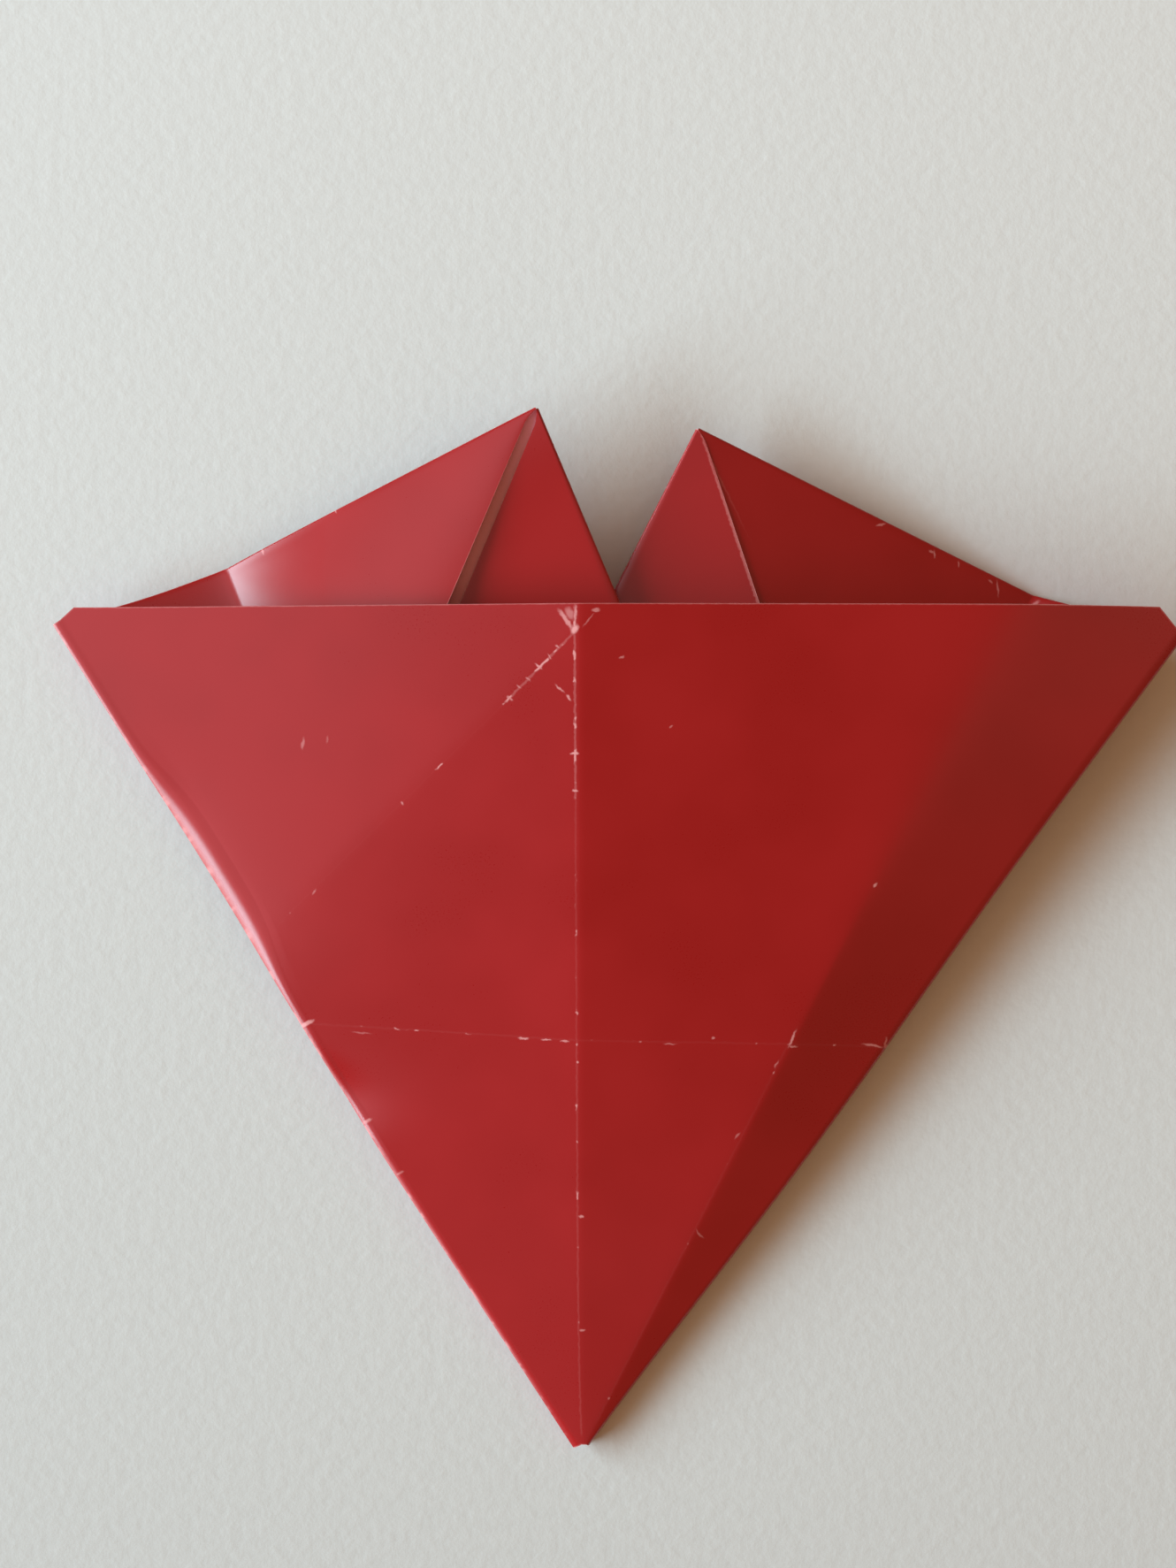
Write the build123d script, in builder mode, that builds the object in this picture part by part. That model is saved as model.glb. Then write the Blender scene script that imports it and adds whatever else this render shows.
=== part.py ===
from build123d import *

import os
from math import copysign, cos, radians, sin, tan

# Origami heart, folded from one sheet of paper and lying on its back.
#
# The front face is on top. Its two side folds turn the ends of the sheet behind it, the left strip
# first and then the right one, which lies on the table. The strips cross, and their pointed ends stand
# past the top of the face as the heart's lobes. Each end was pointed by turning in its two corners,
# so a lobe shows two flaps that meet along a slit.
#
# The plan is drawn from the tip point, where all the long folds meet: +X to the right, +Y to the
# lobes, +Z up from the table. A turn is an angle from +Y, positive to the right. Sizes are in
# millimetres and degrees.

# The sheet, laid flat: its edges, and how far each end lies past a square beside the centre crease
paper = 0.16
bottom_edge = 0.4
sheet_width = 92.6
left_extra = 8.3
right_extra = 10.5

# The pointed ends: height of each point above the sheet's middle, how far short of the side fold the
# upper corner's fold leaves the top edge, and the angle at which the lower one leaves the bottom edge
left_point_shift = 7.4
right_point_shift = 0.2
left_corner_cut = 2.5
right_corner_cut = 4.6
left_corner_angle = 48.6
right_corner_angle = 44.8

# Turns of the side folds, and of the older creases that the strips and the face still bend along
left_fold_angle = -32.1
right_fold_angle = 36.05
left_crease_angle = -42.3
right_crease_angle = 44.0
face_crease_angle = 27.0

# How far a lobe's outer edge dips where the older crease crosses it, and the split of its fold there
left_dip = 2.0
right_dip = 2.0
half_split = 0.1

# Height from one layer to the next: face over left strip, left strip over right, flap over strip
face_rise = 1.4
strip_rise = 0.5
flap_rise = 0.6

# How far each line that leaves the tip has risen where it is level with the sheet's top edge
left_fold_lift = 5.0
right_fold_lift = 4.4
ridge_lift = 10.8
face_crease_lift = 9.6
left_crease_lift = 0.6
left_edge_lift = 9.0

# The slits between the flaps, and how far the flaps' free corners spring off the strips
left_slit = 1.1
right_slit = 0.5
left_slit_angle = 22.9
right_slit_angle = -18.3
left_outer_spring = 4.4
left_inner_spring = 2.8
right_outer_spring = 3.0
right_inner_spring = 3.4
flap_clearance = 0.6

up = Vector(0, 0, 1)
top_edge = bottom_edge + sheet_width


def direction(turn):
    """Unit vector of the plan along a turn."""
    return Vector(sin(radians(turn)), cos(radians(turn)))


def beside(turn):
    """Unit vector of the plan to the right of a turn."""
    return Vector(cos(radians(turn)), -sin(radians(turn)))


def level_with(height, turn):
    """Point at a height of the plan on the line that leaves the tip along a turn."""
    return direction(turn) * (height / cos(radians(turn)))


def folded_over(point, turn):
    """Where a point of the flat sheet comes to lie when the sheet is folded over along a turn."""
    along = direction(turn)
    return along * (2 * point.dot(along)) - point


def crossing(start, end, turn, shift=0):
    """Where the line from start to end crosses a turn's line, shifted to the right."""
    side = beside(turn)
    share = (start.dot(side) - shift) / (start - end).dot(side)
    return start + (end - start) * share


def short_of(end, start):
    """Point on the line from start to end that stops short of the end by half a split."""
    return end - (end - start).normalized() * half_split


def slope_through(first, second, third):
    """Tilted plane through three raised points."""
    return Plane(origin=first, x_dir=second - first, z_dir=(second - first).cross(third - first))


def fan_slope(base, turn, lift, next_turn, next_lift):
    """Tilted plane between two lines that leave the tip at a base height, each with its own lift."""
    foot = up * base
    return slope_through(
        foot,
        foot + level_with(top_edge, turn) + up * lift,
        foot + level_with(top_edge, next_turn) + up * next_lift,
    )


def raised(point, slope, rise=0):
    """The point of a slope straight above a point of the plan, with a further rise."""
    height = (slope.origin - point).dot(slope.z_dir) / slope.z_dir.Z
    return point + up * (height + rise)


def hinged_slope(slope, start, end, corner, spring):
    """Tilted plane of a flap that is hinged over a strip's edge and springs up at its free corner."""
    return slope_through(
        raised(start, slope, flap_rise),
        raised(end, slope, flap_rise),
        raised(corner, slope, flap_rise + spring),
    )


def add_facet(slope, *outline):
    """Adds a flat facet of paper on a slope, from its outline in plan."""
    with BuildSketch(slope) as facet:
        Polygon(*[slope.to_local_coords(raised(point, slope)) for point in outline], align=None)
    extrude(facet.sketch, amount=paper, dir=up)


def add_fold(start, end, inside, slope, rise):
    """Adds the half-round loop of paper that joins a layer's edge to the layer a rise above it.

    The loop bulges away from the inside point.
    """
    along = (end - start).normalized()
    outward = along.cross(up)
    if outward.dot(start - inside) < 0:
        outward = -outward
    foot = raised(start, slope)
    run = raised(end, slope) - foot
    loop_height = rise + paper
    with BuildSketch(Plane(origin=foot + up * (loop_height / 2), x_dir=outward, z_dir=along)) as loop:
        Circle(loop_height / 2)
        Circle(loop_height / 2 - paper, mode=Mode.SUBTRACT)
        Rectangle(loop_height, loop_height, align=(Align.MIN, Align.CENTER), mode=Mode.INTERSECT)
    extrude(loop.sketch, amount=run.length, dir=run)


class Strip:
    """One end of the sheet behind the face: its corners in plan and the slopes of its two facets."""

    def __init__(self, fold, crease, extra, point_shift, corner_cut, corner_angle, dip):
        side = copysign(1, fold)
        end = sheet_width + extra
        self.side = side
        self.fold = fold
        self.crease = 2 * fold - crease
        self.edge = 2 * fold - side * 90
        self.point = bottom_edge + sheet_width / 2 + point_shift
        corner_run = (self.point - bottom_edge) / tan(radians(corner_angle))
        flat_peak = Vector(side * end, self.point)
        flat_inner = Vector(side * (end - corner_run), bottom_edge)
        self.shoulder = level_with(top_edge, fold) - Vector(side * corner_cut, 0)
        self.tip = level_with(bottom_edge, fold)
        self.corner = crossing(self.shoulder, flat_peak, fold)
        self.peak = folded_over(flat_peak, fold)
        self.inner = folded_over(flat_inner, fold)
        self.bend = crossing(self.corner, self.peak, self.crease) - direction(self.crease) * dip
        self.foot = crossing(self.tip, self.inner, self.crease)

    def set_slopes(self, base, fold_lift, crease_lift, edge_lift):
        """Tilts the facet beside the side fold and the main one past the older crease."""
        self.base = base
        self.side_slope = fan_slope(base, self.fold, fold_lift, self.crease, crease_lift)
        self.main_slope = fan_slope(base, self.crease, crease_lift, self.edge, edge_lift)

    def add(self, face_base):
        """Adds both facets and the side fold up to the face."""
        add_facet(self.side_slope, self.tip, self.corner, self.bend, self.foot)
        add_facet(self.main_slope, self.foot, self.bend, self.peak, self.inner)
        add_fold(self.tip, self.corner, self.inner, self.side_slope, face_base - self.base)

    def add_flaps(self, slit, slit_turn, outer_spring, inner_spring):
        """Adds the two turned-in corners, whose free edges lie on either side of the slit."""
        half_slit = beside(slit_turn) * (self.side * slit / 2)
        outer_line = (self.peak + half_slit).dot(beside(slit_turn))
        inner_line = (self.peak - half_slit).dot(beside(slit_turn))

        end = crossing(self.inner, self.peak, slit_turn, inner_line)
        corner = self.peak - half_slit - direction(slit_turn) * (self.point - bottom_edge)
        inner_slope = hinged_slope(self.main_slope, self.inner, end, corner, inner_spring)
        add_facet(inner_slope, self.inner, end, corner)
        add_fold(self.inner, end, corner, self.main_slope, flap_rise)

        end = crossing(self.bend, self.peak, slit_turn, outer_line)
        corner = self.peak + half_slit - direction(slit_turn) * (top_edge - self.point)
        clear = -self.side * flap_clearance
        start = crossing(self.corner, self.bend, self.fold, clear)
        hem = crossing(corner, folded_over(self.shoulder, self.fold), self.fold, clear)
        hem_bend = crossing(corner, hem, self.crease)
        outer_slope = hinged_slope(self.main_slope, self.bend, end, corner, outer_spring)
        hem_slope = slope_through(
            raised(start, self.side_slope, flap_rise),
            raised(self.bend, self.side_slope, flap_rise),
            raised(hem_bend, outer_slope),
        )
        add_facet(outer_slope, self.bend, end, corner, hem_bend)
        add_facet(hem_slope, start, self.bend, hem_bend, hem)
        add_fold(short_of(self.bend, end), end, corner, self.main_slope, flap_rise)
        add_fold(start, short_of(self.bend, start), corner, self.side_slope, flap_rise)


def add_face(base, left, right):
    """Adds the front face: the left half, the right half and the facet past its crease."""
    ridge_foot = level_with(bottom_edge, 0)
    ridge_top = level_with(top_edge, 0)
    crease_foot = level_with(bottom_edge, face_crease_angle)
    crease_top = level_with(top_edge, face_crease_angle)
    left_half = fan_slope(base, left.fold, left_fold_lift, 0, ridge_lift)
    right_half = fan_slope(base, 0, ridge_lift, face_crease_angle, face_crease_lift)
    right_side = fan_slope(base, face_crease_angle, face_crease_lift, right.fold, right_fold_lift)
    add_facet(left_half, left.tip, ridge_foot, ridge_top, left.shoulder, left.corner)
    add_facet(right_half, ridge_foot, crease_foot, crease_top, ridge_top)
    add_facet(right_side, crease_foot, right.tip, right.corner, right.shoulder, crease_top)


left_strip = Strip(
    left_fold_angle,
    left_crease_angle,
    left_extra,
    left_point_shift,
    left_corner_cut,
    left_corner_angle,
    left_dip,
)
right_strip = Strip(
    right_fold_angle,
    right_crease_angle,
    right_extra,
    right_point_shift,
    right_corner_cut,
    right_corner_angle,
    right_dip,
)
left_strip.set_slopes(strip_rise, left_fold_lift, left_crease_lift, left_edge_lift)
right_strip.set_slopes(0, right_fold_lift, 0, 0)
face_base = strip_rise + face_rise

with BuildPart() as drawn_sheet:
    right_strip.add(face_base)
    right_strip.add_flaps(right_slit, right_slit_angle, right_outer_spring, right_inner_spring)
    left_strip.add(face_base)
    left_strip.add_flaps(left_slit, left_slit_angle, left_outer_spring, left_inner_spring)
    add_face(face_base, left_strip, right_strip)

# The row's origin is under the middle of the finished heart.
middle = drawn_sheet.part.bounding_box().center()
with BuildPart() as folded_sheet:
    with Locations((-middle.X, -middle.Y)):
        add(drawn_sheet.part)

os.makedirs("parts", exist_ok=True)
folded_sheet.part.label = "folded_sheet"
export_step(folded_sheet.part, "parts/folded_sheet.step")
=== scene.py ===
"""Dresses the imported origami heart: one sheet of coated red paper, its folds, its creases and its wear."""

import math

import bmesh
import bpy
import numpy as np
from bpy.props import FloatProperty, FloatVectorProperty, PointerProperty
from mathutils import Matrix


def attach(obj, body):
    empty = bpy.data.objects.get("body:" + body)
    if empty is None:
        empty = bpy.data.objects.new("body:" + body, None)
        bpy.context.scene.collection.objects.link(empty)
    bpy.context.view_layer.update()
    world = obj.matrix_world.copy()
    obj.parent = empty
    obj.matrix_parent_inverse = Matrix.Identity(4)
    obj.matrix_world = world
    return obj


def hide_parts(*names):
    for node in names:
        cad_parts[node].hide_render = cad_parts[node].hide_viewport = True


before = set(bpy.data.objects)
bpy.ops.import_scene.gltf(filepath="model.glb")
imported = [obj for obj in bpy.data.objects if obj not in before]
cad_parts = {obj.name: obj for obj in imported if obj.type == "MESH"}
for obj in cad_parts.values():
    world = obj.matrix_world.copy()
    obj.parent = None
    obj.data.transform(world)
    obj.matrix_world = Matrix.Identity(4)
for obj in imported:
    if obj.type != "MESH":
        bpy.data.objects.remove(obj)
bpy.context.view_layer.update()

bl_info = {
    "name": "Origami heart",
    "version": (1, 0, 0),
    "blender": (4, 5, 0),
    "location": "View3D > Sidebar > Heart",
    "description": "Folds a red paper heart and lays it on a pale table",
    "category": "Add Mesh",
}

# The point where all the long folds meet, in the row frame
TIP = np.array([-0.00415286, -0.05709101])
MM = 0.001
FLAT_MAP = "flat_sheet"
CREST = "fold_crest"
RAW = "raw_edge"

# Columns and rows of the grids, and how far each set of them crowds towards its ends
SIDE_STEPS = 14
MAIN_STEPS = 40
LEFT_STEPS = 104
MIDDLE_STEPS = 36
RIGHT_STEPS = 30
CUT_STEPS = 4
LOOP_STEPS = 12
ROWS = 112
FLAP_ROWS = 28
FLAP_LOOP_STEPS = 6
CLEAR_COLUMNS = 2
TABLE_SIDES = 128
SIDE_EASE = 0.8
MAIN_EASE = 0.85
FACE_EASE = 0.7
RIGHT_EASE = 0.5
ROW_EASE = 0.35

# The lobes' spring: reach and turn of the kink's cone, width of the swell, and where they fade
KINK_REACH = 8 * MM
KINK_TURN = 1.2
LOBE_FADE = (0.065, 0.092)
SWELL_WIDTH = 0.005
SWELL_FADE = (0.05, 0.03)

# The face's small bends: slopes, places, widths, and the heights of the plan between which they fade
RIDGE_ROUNDING = 0.05 * MM
CREASE_ROUNDING = 0.10 * MM
CREASE_SPREAD = 0.9 * MM
CREASE_FADE = (0.052, 0.088)
STRAIGHTEN_BEND = 3.0
STRAIGHTEN_FROM = 0.004
DIAGONAL_SLOPE = 0.034
DIAGONAL_POINT = np.array([-0.0006, 0.090])
DIAGONAL_SIDE = np.array([-0.693, 0.721])
DIAGONAL_ROUNDING = 0.12 * MM
LEVEL_SLOPE = 0.008
LEVEL_HEIGHT = 0.046
LEVEL_ROUNDING = 0.4 * MM
LEVEL_FADE = (0.0, 0.02)
ROLL_DEPTH = 0.65 * MM
ROLL_WIDTH = 0.003
ROLL_HEIGHT = 0.040
ROLL_LENGTH = 0.004
WAVE_HEIGHT = 0.05 * MM
WAVE_FADE = (0.0, 0.03)
TWIST_SLOPE = 0.022
TWIST_FADE = (0.030, 0.095)

# The side folds: share that bows, place and half length of the pressed patch, and how low the noses lie
BOW_SHARE = 0.75
PRESS_HEIGHT = 0.0645
PRESS_LENGTH = 0.0105
DRAW_FADE = 0.004
LEFT_DROP = 0.29
LEFT_DROP_BELOW = 0.16
LEFT_DROP_FADE = (0.079, 0.066)
LEFT_NOSE_LIMITS = (0.1, 0.9)
RIGHT_NOSE_HEIGHT = 0.3
SHARP = 2.0

# The flaps: reach of their folds' loops as a share of the rise, and the length in which a slit opens
FLAP_REACH = 0.3
SLIT_OPENING = 0.0015


def size(name, description, default):
    """A length in metres that the panel shows."""
    return FloatProperty(name=name, description=description, default=default, unit="LENGTH", precision=5)


def turn(name, description, degrees):
    """An angle from +Y, positive to the right, that the panel shows."""
    return FloatProperty(name=name, description=description, default=math.radians(degrees), unit="ROTATION")


def share(name, description, default):
    """A number from 0 to 1 that the panel shows."""
    return FloatProperty(
        name=name, description=description, default=default, min=0.0, max=1.0, subtype="FACTOR"
    )


def level(name, description, default):
    """A strength that the panel shows."""
    return FloatProperty(name=name, description=description, default=default, min=0.0)


def colour(name, description, default):
    """A linear colour that the panel shows."""
    return FloatVectorProperty(name=name, description=description, default=default, size=3, subtype="COLOR")


class HeartSheet(bpy.types.PropertyGroup):
    """Sizes of the sheet and of its folds, close to the part's source, with its small bends."""

    paper: size("Paper", "Thickness of the paper", 0.00016)
    bottom_edge: size("Bottom edge", "Height of the lower long edge above the tip point", 0.0004)
    sheet_width: size("Sheet width", "Width of the sheet between its long edges", 0.0926)
    left_extra: size("Left extra", "How far the left end lies past a square", 0.0083)
    right_extra: size("Right extra", "How far the right end lies past a square", 0.0105)
    left_point_shift: size("Left point", "Height of the left point above the sheet's middle", 0.0074)
    right_point_shift: size("Right point", "Height of the right point above the sheet's middle", 0.0002)
    left_corner_cut: size("Left corner cut", "Top edge lost to the left corner's fold", 0.0025)
    right_corner_cut: size("Right corner cut", "Top edge lost to the right corner's fold", 0.0046)
    left_corner_angle: turn("Left corner", "Lower left corner's fold against the bottom edge", 48.6)
    right_corner_angle: turn("Right corner", "Lower right corner's fold against the bottom edge", 44.8)
    left_fold: turn("Left fold", "Turn of the left side fold", -32.1)
    right_fold: turn("Right fold", "Turn of the right side fold", 36.05)
    left_crease: turn("Left crease", "Turn of the left strip's older crease on the flat sheet", -42.3)
    right_crease: turn("Right crease", "Turn of the right strip's older crease on the flat sheet", 44.0)
    face_crease: turn("Face crease", "Turn of the long crease right of the ridge", 27.0)
    left_dip: size("Left dip", "Dip of the left lobe's outer edge at the older crease", 0.0020)
    right_dip: size("Right dip", "Dip of the right lobe's outer edge at the older crease", 0.0020)
    face_rise: size("Face rise", "Height of the face over the left strip at the tip", 0.0014)
    strip_rise: size("Strip rise", "Height of the left strip over the right one at the tip", 0.0005)
    flap_rise: size("Flap rise", "Height of a flap over its strip at the fold", 0.0006)
    left_fold_lift: size("Left fold lift", "Rise of the left side fold at the top edge", 0.0050)
    right_fold_lift: size("Right fold lift", "Rise of the right side fold at the top edge", 0.0042)
    ridge_lift: size("Ridge lift", "Rise of the centre ridge at the top edge", 0.0110)
    face_crease_lift: size("Face crease lift", "Rise of the face's long crease at the top edge", 0.0096)
    left_crease_lift: size("Left crease lift", "Rise of the left strip's crease at the top edge", 0.0006)
    left_edge_lift: size("Left edge lift", "Rise of the left strip's raw edge at the top edge", 0.0090)
    left_slit: size("Left slit", "Gap between the left lobe's flaps", 0.0011)
    right_slit: size("Right slit", "Gap between the right lobe's flaps", 0.0005)
    left_slit_angle: turn("Left slit turn", "Turn of the left lobe's slit", 22.9)
    right_slit_angle: turn("Right slit turn", "Turn of the right lobe's slit", -18.3)
    left_outer_spring: size("Left outer spring", "Spring of the left lobe's outer flap", 0.0049)
    left_inner_spring: size("Left inner spring", "Spring of the left lobe's inner flap", 0.0028)
    right_outer_spring: size("Right outer spring", "Spring of the right lobe's outer flap", 0.0038)
    right_inner_spring: size("Right inner spring", "Spring of the right lobe's inner flap", 0.0043)
    flap_clearance: size("Flap clearance", "Gap between the outer flaps and the side folds", 0.0006)
    fold_stand: size("Fold stand", "How far the side folds stand out past their lines", 0.00078)
    left_nose: size("Left nose", "Width of the left side fold's bent nose", 0.0009)
    right_nose: size("Right nose", "Width of the right side fold's bent nose", 0.0004)
    left_press: size("Left press", "How much wider the nose is where the left fold was pressed", 0.0019)
    left_bow: size("Left bow", "How far the left side fold bows out along its lower half", 0.0004)
    right_bow: size("Right bow", "How far the right side fold bows out along its lower half", 0.0006)
    right_lobe_tilt: share("Right lobe tilt", "Slope of the right lobe's spring towards the left one", 0.12)
    corner_sag: size("Corner sag", "Sag of the left lobe's edge between corner and crease", 0.0008)
    right_overlap: size("Right overlap", "Lap of the right lobe's inner flap over the outer one", 0.0006)
    left_kink: share("Left kink", "Steepness of the left lobe's spring past its older crease", 0.30)
    left_swell: share("Left swell", "Slope by which the left strip swells under its lobe's slit", 0.06)
    left_camber: size("Left camber", "Bulge of the left outer flap between hinge and free edge", 0.0006)


class HeartFinish(bpy.types.PropertyGroup):
    """Colours and gloss of the paper."""

    front: colour("Front", "Coated red front of the paper", (0.328, 0.0015, 0.004))
    front_light: colour("Front, worn", "Slightly faded red between the creases", (0.37, 0.004, 0.007))
    reverse: colour("Reverse", "Uncoated pale reverse of the paper", (0.92, 0.43, 0.56))
    # The core colour also paints the highlights on the left fold crests and on the right cut edge
    core: colour("Core", "Paper laid bare where the coating cracked", (0.80, 0.33, 0.32))
    edge: colour("Raw edge", "Cut edge of the paper", (0.70, 0.36, 0.34))
    gloss_roughness: share("Gloss roughness", "Roughness of the coated front", 0.29)
    wear: share("Wear", "How much of each crease has cracked", 0.8)


class HeartStage(bpy.types.PropertyGroup):
    """Table, lamps and camera."""

    table_radius: size("Table radius", "Radius of the round table", 0.42)
    table: colour("Table", "Pale painted table", (0.745, 0.755, 0.735))
    window: level("Window", "Power of the large lamp on the left, in watts", 161.0)
    ceiling: level("Ceiling", "Power of the overhead panel on the left, in watts", 3.6)
    front: level("Front", "Power of the faint overhead panel past the tip, in watts", 0.32)
    wall: level("Wall", "Power of the faint panel on the right, in watts", 0.5)
    back: level("Back", "Power of the faint overhead panel past the lobes, in watts", 0.36)
    fill: colour("Fill", "Warm light from all round", (0.385, 0.205, 0.10))
    backdrop: colour("Backdrop", "Pale wall that shows past the table", (0.74, 0.75, 0.74))
    camera_height: size("Camera height", "Height of the camera over the table", 0.320)
    camera_x: size("Camera right", "Camera's place right of the tip point", 0.000845)
    camera_y: size("Camera up", "Camera's place towards the lobes from the tip point", 0.07359)
    camera_lens: level("Lens", "Focal length on a 36 mm frame, in millimetres", 65.75)


def ray(angle):
    """Unit vector of the plan at an angle from +Y, positive to the right: its sine and its cosine."""
    return np.array([math.sin(angle), math.cos(angle)])


def level_with(height, angle):
    """Point at a height of the plan on the line that leaves the tip at an angle."""
    return ray(angle) * (height / math.cos(angle))


def mirrored(points, start, end):
    """Mirror image of plan points over the line through start and end.

    Twice the part along the line, less the point itself, measured from start.
    """
    along = (end - start) / np.linalg.norm(end - start)
    apart = points - start
    return start + 2 * (apart @ along)[..., None] * along - apart


def crossing(start, end, angle, shift=0.0):
    """Where the line from start to end meets the tip's line at an angle, shifted to the right."""
    side = ray(angle + math.pi / 2)
    part = (start @ side - shift) / ((start - end) @ side)
    return start + (end - start) * part


def fan_slope(top, first, first_lift, second, second_lift):
    """Slope in x and y of the plane through the tip that has each lift where its line is level with top."""
    lines = np.array([level_with(top, first), level_with(top, second)])
    return np.linalg.solve(lines, [first_lift, second_lift])


def plane_through(points, heights):
    """Height, x slope and y slope of the plane over three plan points with the given heights."""
    rows = np.column_stack([np.ones(3), np.array(points)])
    return np.linalg.solve(rows, heights)


def sprung_plane(slope, points, spring):
    """Plane over three plan points on a slope through the tip, the last of which springs up from it."""
    return plane_through(points, np.array(points) @ slope + np.array([0, 0, spring]))


def eased(count, ends):
    """count + 1 shares from 0 to 1, closer together towards both ends as ends goes from 0 to 1.

    A mix of even steps and of half a cosine wave.
    """
    even = np.linspace(0, 1, count + 1)
    return (1 - ends) * even + ends * (0.5 - 0.5 * np.cos(math.pi * even))


def between(start, end, shares):
    """Points on the straight line from start to end at the given shares of it."""
    return start + (end - start) * shares[:, None]


def smooth_step(low, high, values):
    """0 below low, 1 above high, and 3t^2 - 2t^3 between."""
    t = np.clip((values - low) / (high - low), 0, 1)
    return t * t * (3 - 2 * t)


def soft_min(first, second, rounding):
    """The lesser of two heights with its corner rounded.

    Half of their sum less the root of their squared difference and the squared rounding.
    """
    return 0.5 * (first + second - np.sqrt((first - second) ** 2 + rounding ** 2))


def soft_ramp(distance, rounding):
    """0 on one side of a line and the distance on the other, with its corner rounded."""
    return 0.5 * (distance + np.sqrt(distance ** 2 + rounding ** 2))


class Strip:
    """One end of the sheet, turned behind the face: its corners, flat and folded, and its two slopes."""

    def __init__(self, s, side, base, lifts):
        name = "left_" if side < 0 else "right_"

        def own(key):
            return getattr(s, name + key)

        self.side = side
        self.base = base
        self.bottom = s.bottom_edge
        self.top = s.bottom_edge + s.sheet_width
        self.fold = own("fold")
        self.flap_rise = s.flap_rise
        self.clearance = s.flap_clearance
        end = s.sheet_width + own("extra")
        self.point = s.bottom_edge + s.sheet_width / 2 + own("point_shift")
        run = (self.point - s.bottom_edge) / math.tan(own("corner_angle"))
        cut = own("corner_cut")
        crease = own("crease")
        self.flat_peak = np.array([side * end, self.point])
        self.flat_inner = np.array([side * (end - run), s.bottom_edge])
        self.shoulder = level_with(self.top, self.fold) - np.array([side * cut, 0])
        self.corner = crossing(self.shoulder, self.flat_peak, self.fold)
        self.tip = level_with(s.bottom_edge, self.fold)
        dip = own("dip")
        self.flat_bend = crossing(self.corner, self.flat_peak, crease) - ray(crease) * dip
        self.flat_foot = level_with(s.bottom_edge, crease)
        self.peak, self.inner, self.bend = self.behind(
            np.array([self.flat_peak, self.flat_inner, self.flat_bend])
        )
        fold_lift, crease_lift, edge_lift = lifts
        back_crease = 2 * self.fold - crease
        back_edge = 2 * self.fold - side * math.pi / 2
        self.crease = back_crease
        self.side_slope = fan_slope(self.top, self.fold, fold_lift, back_crease, crease_lift)
        self.main_slope = fan_slope(self.top, back_crease, crease_lift, back_edge, edge_lift)
        self.slit = own("slit")
        self.slit_angle = own("slit_angle")
        self.outer_spring = own("outer_spring")
        self.inner_spring = own("inner_spring")
        self.sag = s.corner_sag if side < 0 else 0.0
        self.overlap = s.right_overlap if side > 0 else 0.0
        self.kink = s.left_kink if side < 0 else 0.0
        self.camber = s.left_camber if side < 0 else 0.0
        self.swell = s.left_swell if side < 0 else 0.0
        self.tilt = s.right_lobe_tilt if side > 0 else 0.0

    def lobe_lift(self, plan):
        """Extra height of a lobe that springs up.

        One part is a slope across the lobe. The other is a cone from the kink of the outer edge: the distance
        from the kink, levelling out within its reach, times the sine of an angle that goes from 0 at the
        older crease to a quarter turn at the kink's own turn past it. Both fade out below the face's top.
        """
        across = np.clip(self.bend[0] - plan[..., 0], 0, None)
        way = plan - self.bend
        along = -ray(self.crease)
        past = np.arctan2(way @ np.array([-along[1], along[0]]), way @ along)
        cone = np.sin(np.clip(past / KINK_TURN, 0, 1) * math.pi / 2)
        reach = KINK_REACH * (1 - np.exp(-np.linalg.norm(way, axis=-1) / KINK_REACH))
        return (self.tilt * across + self.kink * reach * cone) * smooth_step(*LOBE_FADE, plan[..., 1])

    def slit_swell(self, plan):
        """Height by which a strip swells under its lobe's slit.

        It grows along the slit from the peak and fades out below the face's top edge. Across the slit it is
        a bell curve.
        """
        way = plan - self.peak
        along = np.clip(-(way @ ray(self.slit_angle)), 0, None)
        across = way @ ray(self.slit_angle + math.pi / 2)
        return self.swell * along * np.exp(-((across / SWELL_WIDTH) ** 2)) * smooth_step(*SWELL_FADE, along)

    def behind(self, flat):
        """Where points of the flat strip lie once it is folded behind: mirrored over the side fold."""
        return mirrored(flat, np.zeros(2), ray(self.fold))


def strip_columns(strip):
    """Flat lower and upper ends of a strip's columns, from the side fold out to the lobe's inner edge.

    The columns of the side facet run from the fold to the older crease, and those of the main facet from
    there to the line from the inner shoulder to the peak.
    """
    side_part = eased(SIDE_STEPS, SIDE_EASE)
    main_part = eased(MAIN_STEPS, MAIN_EASE)[1:]
    lower = np.vstack([
        between(strip.tip, strip.flat_foot, side_part),
        between(strip.flat_foot, strip.flat_inner, main_part),
    ])
    upper = np.vstack([
        between(strip.corner, strip.flat_bend, side_part),
        between(strip.flat_bend, strip.flat_peak, main_part),
    ])
    return lower, upper


def rows_between(lower, upper, shares):
    """Grid of points on the straight lines from lower to upper ends: rows by columns by coordinates."""
    return lower[None] + (upper - lower)[None] * shares[:, None, None]


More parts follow.
